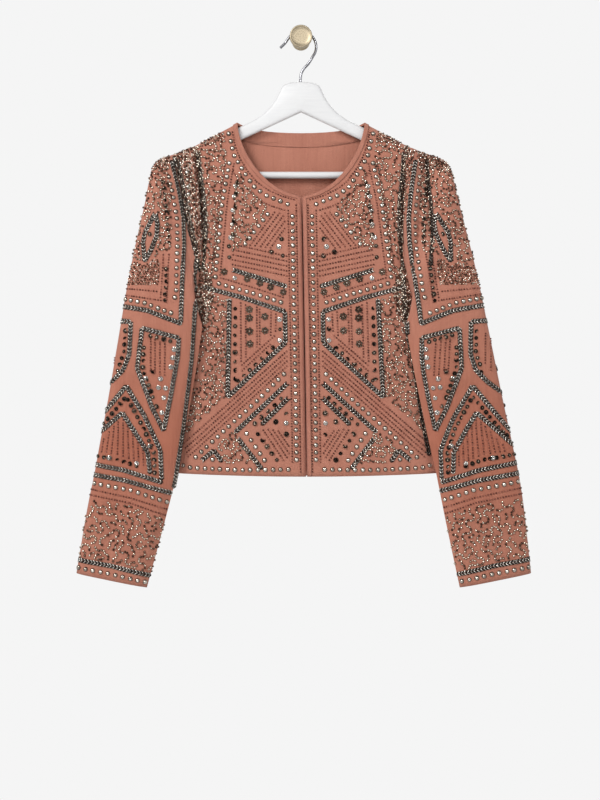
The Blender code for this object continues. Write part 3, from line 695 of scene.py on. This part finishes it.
# Bands in the armhole folds, along the armhole seam and down the left front's side, darkened as painted shade
# of the deep folds and of the gap between sleeve and body; the left fold band and the seam band stand only
# for that shade.
RIGHT_FOLD_ROPES = (
    ((182, 172), (175, 201), (169, 241), (161, 281), (151, 321), (147, 342)),
    ((177, 174), (170, 203), (164, 241), (156, 281), (150, 312)),
)
LEFT_FOLD_ROPES = (((203, 176), (203, 205), (204, 240), (203, 283), (195, 330)),)
SEAM_ROPES = (((148, 166), (143, 205), (139, 241), (138, 285), (143, 335)),)
LEFT_SIDE_ROPES = (((143, 345), (145, 400), (148, 428), (155, 464), (164, 528), (176, 600)),)
gunmetal = bead_finish(
    "gunmetal_bugles", 0.24, 0.9,
    (0.0, (0.028, 0.021, 0.017)), (0.4, (0.11, 0.09, 0.076)),
    (0.7, (0.32, 0.28, 0.245)), (1.0, (0.82, 0.77, 0.70)),
)


def leaning_rows(spots, offset, slant):
    """Two rows beside a line of spots, each bead turned on the cloth towards the other row."""
    turned = []
    for place, along, outward in spots:
        along = along / np.linalg.norm(along)
        across = np.cross(outward, along)
        for way in (1, -1):
            lie = along * math.cos(slant) - across * (way * math.sin(slant))
            turned.append((place + across * (way * offset), lie, outward))
    return turned


# The last value is the tone of the silver-lined bugles: a little lower on the sleeves' inner edges and lowest
# on the fold, seam and side bands, as painted shade.
for name, panels, paths, lined in (
    ("body", body_panels, FRONT_ROPES, 0.76),
    ("sleeve", sleeve_panels, SLEEVE_ROPES, 0.76),
    ("sleeve_inner", sleeve_panels, INNER_ROPES, 0.68),
    ("left_fold", sleeve_panels[:2], LEFT_FOLD_ROPES, 0.4),
    ("right_fold", sleeve_panels[2:], RIGHT_FOLD_ROPES, 0.4),
    ("armhole", body_panels, SEAM_ROPES, 0.45),
    ("left_side", front_panels[:1], LEFT_SIDE_ROPES, 0.45),
):
    shape = bmesh.new()
    bmesh.ops.create_cone(
        shape, cap_ends=True, segments=4, radius1=BUGLE_RADIUS, radius2=BUGLE_RADIUS, depth=BUGLE_LENGTH
    )
    bmesh.ops.rotate(shape, cent=(0, 0, 0), matrix=Matrix.Rotation(math.pi / 2, 3, "Y"), verts=shape.verts)
    spots = leaning_rows(rows_on(panels, paths, BUGLE_PITCH), ROW_OFFSET, BUGLE_SLANT)
    second = (np.arange(len(spots)) // 2) % 2 == 0
    tone = np.where(second, lined, 0.02) + draws.uniform(-0.12, 0.14, len(spots))
    sewn(f"{name}_rope_bands", shape, spots, tone, gunmetal, draws, lift=0.0006, smooth=False)


# Sequins: cupped discs of dark and bright bronze, about 6 mm across, in rows and singly.
# One stitch through the middle holds each, so it tips. Silver ones of about the same size are sewn on singly.
SEQUIN_RADIUS = 0.0032
BODY_SEQUIN_PITCH = 12.0
SLEEVE_SEQUIN_PITCH = 9.2
FRONT_SEQUINS = (
    ((98, 384), (100, 497)),
    ((40, 442), (100, 497)),
    ((29, 514), (77, 559)),
    ((72, 564), (39, 611)),
)
FRONT_DARK_SINGLES = (
    (92, 210), (94, 225), (96, 245), (98, 265), (99, 285), (105, 301), (105, 317),
    (30, 291), (45, 310), (29, 315), (28, 540), (43, 552), (28, 570), (35, 420),
)
FRONT_BRIGHT_SINGLES = (
    (95, 215), (97, 230), (99, 250), (100, 270), (103, 289), (34, 302), (28, 554), (35, 406), (35, 436),
    (98, 347),
)
SLEEVE_SEQUINS = (
    ((199, 205), (195, 240), (189, 301)),
    ((224, 428), (185, 439)),
    ((228, 442), (230, 477), (215, 521)),
    ((254, 418), (256, 452), (268, 484)),
    ((306, 575), (282, 549), (254, 516), (229, 562), (216, 596), (215, 628)),
    ((320, 597), (268, 605), (237, 616)),
    ((194, 330), (197, 384)),
)
SLEEVE_DARK_SINGLES = ((217, 285), (216, 481), (211, 530))
SLEEVE_BRIGHT_SINGLES = (
    (185, 449), (187, 461), (190, 474), (226, 490), (205, 491), (208, 503), (198, 504), (201, 518),
    (204, 539), (241, 611), (280, 603), (222, 586),
)
bronze = bead_finish(
    "bronze_sequins", 0.16, 0.85,
    (0.0, (0.012, 0.008, 0.006)), (0.5, (0.065, 0.045, 0.032)),
    (0.75, (0.30, 0.24, 0.18)), (1.0, (0.72, 0.66, 0.58)),
)
silver = bead_finish(
    "silver_sequins", 0.15, 1.0,
    (0.0, (0.18, 0.16, 0.14)), (0.5, (0.58, 0.55, 0.51)), (1.0, (0.90, 0.89, 0.87)),
)


def sequin():
    """A cupped disc, a low frustum with its top pressed in, and the bead that its stitch goes through."""
    disc = bmesh.new()
    bmesh.ops.create_cone(
        disc, cap_ends=True, segments=10, radius1=SEQUIN_RADIUS * 0.82, radius2=SEQUIN_RADIUS, depth=0.0011
    )
    top = max(disc.faces, key=lambda face: face.calc_center_median().z)
    bmesh.ops.inset_region(disc, faces=[top], thickness=SEQUIN_RADIUS * 0.45, depth=-0.0008)
    bead = bmesh.ops.create_icosphere(disc, subdivisions=1, radius=SEQUIN_RADIUS * 0.42)["verts"]
    bmesh.ops.translate(disc, verts=bead, vec=(0, 0, 0.0008))
    return disc


def singles_on(panels, places):
    """Spots for beads that are sewn on one by one."""
    found = [touch(panel, out, drop) for panel in panels for out, drop in places]
    return [(place, np.array((1.0, 0.0, 0.3)), normal) for place, normal in filter(None, found)]


def tipped(spots, draws, most):
    """The same spots, with each way out tipped a little its own way."""
    return [(place, along, outward + draws.uniform(-most, most, 3)) for place, along, outward in spots]


spots = rows_on(body_panels, FRONT_SEQUINS, BODY_SEQUIN_PITCH)
spots += rows_on(sleeve_panels, SLEEVE_SEQUINS, SLEEVE_SEQUIN_PITCH)
spots += singles_on(body_panels, FRONT_DARK_SINGLES) + singles_on(sleeve_panels, SLEEVE_DARK_SINGLES)
tone = mixed_tones(draws, len(spots), 0.3, 0.52)
# Painted shade darkens each sequin towards its lowest parts.
sewn(
    "bronze_sequins", sequin(), tipped(spots, draws, 0.45), tone, bronze, draws,
    lift=0.0008, sizes=(0.85, 1.25), foot_shade=0.6, smooth=False,
)
spots = singles_on(body_panels, FRONT_BRIGHT_SINGLES) + singles_on(sleeve_panels, SLEEVE_BRIGHT_SINGLES)
tone = draws.uniform(0.5, 1.0, len(spots))
# Painted shade darkens each silver sequin a little towards its lowest parts.
sewn(
    "silver_sequins", sequin(), tipped(spots, draws, 0.2), tone, silver, draws,
    lift=0.0009, sizes=(1.0, 1.15), foot_shade=0.5, smooth=False,
)


# Rosettes: six small cups of bronze sewn round a bead, 11 mm across, in rows between the bead lines.
# One thread goes through all six and is fastened off under the middle bead.
PETAL_RADIUS = 0.0019
ROSETTE_RADIUS = 0.0036
ROSETTES = (
    (113, 338), (80, 348), (62, 354), (47, 360), (29, 367),
    (78, 392), (78, 404), (78, 423), (78, 441), (56, 402), (56, 422),
)
shape = bmesh.new()
for turn in np.arange(6) * math.pi / 3:
    petal = bmesh.ops.create_cone(
        shape, cap_ends=True, segments=6, radius1=PETAL_RADIUS * 0.8, radius2=PETAL_RADIUS, depth=0.0012
    )["verts"]
    bmesh.ops.translate(
        shape, verts=petal, vec=(ROSETTE_RADIUS * math.cos(turn), ROSETTE_RADIUS * math.sin(turn), 0)
    )
middle = bmesh.ops.create_icosphere(shape, subdivisions=1, radius=0.0018)["verts"]
bmesh.ops.translate(shape, verts=middle, vec=(0, 0, 0.0004))
spots = tipped(singles_on(body_panels, ROSETTES), draws, 0.12)
tone = draws.uniform(0.72, 1.0, len(spots))
# Painted shade darkens each rosette towards its lowest parts.
sewn("rosettes", shape, spots, tone, bronze, draws, lift=0.0008, foot_shade=0.55, smooth=False)


# Squiggle filling: champagne seed beads couched down in short wandering lines in the fields between bands.
# It is worked freely, so no two lines are alike.
FILL_BEAD = 0.00185
FILL_PITCH = 3.7
AREA_PER_TRY = 2.5
BACK_LOOSER = 1.4
# Fields: corners, how tightly a line bends and the room between lines, in mm.
FRONT_FIELDS = (
    (((91, 190), (72, 222), (52, 238), (49, 249), (86, 301), (102, 308), (101, 255)), 4.2, 4.1),
    (((149, 363), (110, 377), (113, 514), (174, 572), (178, 574), (163, 478)), 4.4, 4.0),
    (((95, 570), (101, 573), (67, 612), (116, 610), (130, 589), (112, 567)), 4.2, 4.1),
    (((108, 147), (105, 176), (115, 239), (124, 311), (130, 356), (143, 357), (145, 305), (143, 248),
      (149, 197), (154, 160), (138, 151)), 4.2, 4.0),
)
SLEEVE_FIELDS = (
    (((250, 214), (238, 198), (214, 188), (190, 187), (186, 240), (187, 310), (204, 312), (212, 318),
      (203, 286), (202, 262), (208, 247), (214, 250), (232, 290), (231, 322), (268, 326), (262, 270),
      (250, 220)), 4.2, 4.1),
    (((324, 660), (252, 671), (199, 690), (214, 767), (274, 751), (338, 740)), 4.6, 5.4),
    (((163, 204), (155, 305), (150, 323), (159, 255), (167, 190)), 4.2, 4.2),
)
BACK_FIELDS = ((((88, 158), (4, 158), (4, 228), (30, 222), (62, 202), (80, 182)), 4.4, 4.6),)
pearl = bead_finish(
    "champagne_beads", 0.17, 0.85,
    (0.0, (0.036, 0.018, 0.012)), (0.35, (0.15, 0.088, 0.060)),
    (0.65, (0.60, 0.48, 0.37)), (1.0, (0.98, 0.91, 0.80)),
)


def inside(corners, place):
    """Whether a place lies inside a field, by counting the borders to one side of it."""
    x, y = corners[:, 0], corners[:, 1]
    next_x, next_y = np.roll(x, -1), np.roll(y, -1)
    spans = (y > place[1]) != (next_y > place[1])
    crossing = x[spans] + (place[1] - y[spans]) / (next_y - y)[spans] * (next_x - x)[spans]
    return np.count_nonzero(place[0] < crossing) % 2 == 1


def wander(field, pitch, draws, looser=1.0):
    """Places and headings of the beads in a field's wandering lines, begun here and there till it is full."""
    corners, bend, room = np.array(field[0], float), *field[1:]
    low, high = corners.min(axis=0), corners.max(axis=0)
    room *= looser
    taken = np.empty((0, 2))
    beads = []

    def free(place, line):
        """Whether a bead here lies in the field and clear of the lines, its own last beads apart."""
        near = np.concatenate([taken, [earlier for earlier, _ in line[:-2]]]) if len(line) > 2 else taken
        clear = not len(near) or np.min(np.sum((near - place) ** 2, axis=1)) > room ** 2
        return clear and inside(corners, place)

    for _ in range(int(np.prod(high - low) / AREA_PER_TRY)):
        place = draws.uniform(low, high)
        heading = draws.uniform(0, 2 * math.pi)
        turn = draws.choice((-1.0, 1.0))
        swing = draws.integers(3, 6)
        line = []
        for k in range(draws.integers(12, 25)):
            if not free(place, line):
                break
            line.append((place, heading))
            if k % swing == swing - 1:
                turn = -turn
            for way in (turn, -turn):
                onward = heading + way * pitch / bend * draws.uniform(0.7, 1.1)
                step = place + pitch * np.array((math.cos(onward), math.sin(onward)))
                if free(step, line):
                    break
            place, heading = step, onward
        if len(line) > 2:
            beads += line
            taken = np.concatenate([taken, [earlier for earlier, _ in line]])
    return beads


def placed(panel, beads):
    """Spots on a panel for places and headings of the pattern."""
    found = [(touch(panel, *place), heading) for place, heading in beads]
    return [(hit[0], np.array((math.cos(turn), 0.0, -math.sin(turn))), hit[1]) for hit, turn in found if hit]


for name, panels, fields in (
    ("front", front_panels, FRONT_FIELDS),
    ("back", back_panels, FRONT_FIELDS + BACK_FIELDS),
    ("sleeve", sleeve_panels, SLEEVE_FIELDS),
):
    shape = bmesh.new()
    bmesh.ops.create_icosphere(shape, subdivisions=1, radius=FILL_BEAD)
    spots = []
    for panel in panels:
        for field in fields:
            looser = BACK_LOOSER if panel[2] > 0 else 1.0
            spots += placed(panel, wander(field, FILL_PITCH, draws, looser))
    tone = mixed_tones(draws, len(spots), 0.22, 0.6)
    # Painted shade darkens each bead strongly towards its foot, round a bright top.
    sewn(f"{name}_squiggles", shape, spots, tone, pearl, draws, lift=0.0009, foot_shade=0.92)


# Packed filling: small dark and champagne beads at the shoulders, round the armholes and on the upper arms.
# They are sewn on close together in staggered rows.
PACKED_BEAD = 0.00135
# Fields: corners in mm, distance between beads in mm.
FRONT_PACKED = (
    (((156, 330), (138, 330), (126, 362), (130, 385), (144, 420), (154, 418)), 2.8),
    (((166, 150), (148, 156), (143, 197), (136, 248), (136, 300), (156, 316), (166, 248), (168, 197)), 2.9),
    (((146, 147), (111, 135), (108, 146), (142, 157)), 3.0),
)
SLEEVE_PACKED = (
    (((266, 332), (236, 324), (224, 330), (213, 319), (203, 323), (206, 357), (272, 357)), 3.3),
    (((186, 164), (146, 150), (144, 200), (142, 300), (142, 345), (150, 330), (161, 281), (169, 241),
      (175, 201)), 2.7),
    (((252, 214), (244, 186), (220, 160), (188, 164), (190, 190), (214, 190), (238, 200)), 2.8),
)


def packed(field, draws):
    """Places and headings of beads packed in rows over a field, with each second row set between."""
    corners, pitch = np.array(field[0], float), field[1]
    low, high = corners.min(axis=0), corners.max(axis=0)
    beads = []
    for k, drop in enumerate(np.arange(low[1], high[1], pitch * 0.87)):
        for out in np.arange(low[0] + pitch * 0.5 * (k % 2), high[0], pitch):
            place = np.array((out, drop)) + draws.uniform(-0.22, 0.22, 2) * pitch
            if inside(corners, place):
                beads.append((place, draws.uniform(0, 2 * math.pi)))
    return beads


shape = bmesh.new()
bmesh.ops.create_icosphere(shape, subdivisions=1, radius=PACKED_BEAD)
spots = []
for panels, fields in ((body_panels, FRONT_PACKED), (sleeve_panels, SLEEVE_PACKED)):
    for panel in panels:
        for field in fields:
            spots += placed(panel, packed(field, draws))
tone = mixed_tones(draws, len(spots), 0.55, 0.28)
sewn("packed_beads", shape, spots, tone, pearl, draws, lift=0.0007)


# Studio: a pale floor well below the hanging jacket and a pale surround that is dimmer before it than behind.
# The main soft light is at the upper left, and small lamps give the beads their sparkle.
FLOOR_Z = -2.2
FLOOR_RADIUS = 3.0
FLOOR_TONES = ((0.3, (0.80, 0.80, 0.80)), (0.7, (0.84, 0.84, 0.84)))
SURROUND = (
    (0.0, (0.35, 0.35, 0.35)), (0.36, (0.913, 0.913, 0.913)),
    (0.64, (0.913, 0.913, 0.913)), (1.0, (0.35, 0.35, 0.35)),
)  # colours from straight below to straight above
FRONT_SHARE = 0.6  # how bright the surround is before the jacket, against behind it
# Lamps: place, width in metres, power in watts.
LAMPS = (
    ((-1.7, -2.3, 1.3), 1.0, 62.0),
    ((1.9, -2.6, 0.4), 1.2, 8.0),
    ((-0.9, -2.7, 0.3), 0.14, 9.0),
    ((0.7, -2.5, 0.9), 0.14, 8.0),
    ((-0.2, -2.9, -1.4), 0.2, 4.0),
    ((0.6, 2.6, 0.8), 1.4, 16.0),
)
chalk, nodes, links, shader = finish_named("pale_floor", 0.9)
speck = streaks(nodes, links, (14.0, 14.0, 14.0))
graded(nodes, links, speck, FLOOR_TONES, shader.inputs["Base Color"])
shape = bmesh.new()
bmesh.ops.create_circle(shape, cap_ends=True, segments=64, radius=FLOOR_RADIUS)
bmesh.ops.translate(shape, verts=shape.verts, vec=(0, 0, FLOOR_Z))
floor_mesh = bpy.data.meshes.new("floor")
shape.to_mesh(floor_mesh)
shape.free()
floor_mesh.materials.append(chalk)
floor = bpy.data.objects.new("floor", floor_mesh)
bpy.context.scene.collection.objects.link(floor)

world = bpy.data.worlds.new("studio")
world.use_nodes = True
bpy.context.scene.world = world
nodes, links = world.node_tree.nodes, world.node_tree.links
way = nodes.new("ShaderNodeTexCoord")
parts = nodes.new("ShaderNodeSeparateXYZ")
height = nodes.new("ShaderNodeMapRange")
height.inputs["From Min"].default_value = -1.0
links.new(way.outputs["Generated"], parts.inputs["Vector"])
links.new(parts.outputs["Z"], height.inputs["Value"])
front = nodes.new("ShaderNodeMapRange")
front.inputs["From Min"].default_value = -0.4
front.inputs["From Max"].default_value = 0.5
front.inputs["To Min"].default_value = FRONT_SHARE
links.new(parts.outputs["Y"], front.inputs["Value"])
links.new(front.outputs["Result"], nodes["Background"].inputs["Strength"])
graded(nodes, links, height.outputs["Result"], SURROUND, nodes["Background"].inputs["Color"])

aim = Vector((0.0, -0.03, -0.40))
for k, (place, width, power) in enumerate(LAMPS):
    lamp = bpy.data.lights.new(f"lamp_{k}", "AREA")
    lamp.size = width
    lamp.energy = power
    holder = bpy.data.objects.new(f"lamp_{k}", lamp)
    holder.location = place
    holder.rotation_euler = (aim - Vector(place)).to_track_quat("-Z", "Y").to_euler()
    bpy.context.scene.collection.objects.link(holder)

CAMERA_Y = -2.4
VIEW_HALF_HEIGHT = 0.576
SHARP_Y = -0.024  # depth at which the view is as high as stated
lens = bpy.data.cameras.new("camera")
lens.sensor_fit = "VERTICAL"
lens.angle = 2 * math.atan(VIEW_HALF_HEIGHT / (SHARP_Y - CAMERA_Y))
camera = bpy.data.objects.new("camera", lens)
camera.location = (-0.0014, CAMERA_Y, -0.521)
camera.rotation_euler = (math.pi / 2, 0, 0)
bpy.context.scene.collection.objects.link(camera)
bpy.context.scene.camera = camera
bpy.context.scene.view_settings.view_transform = "Standard"
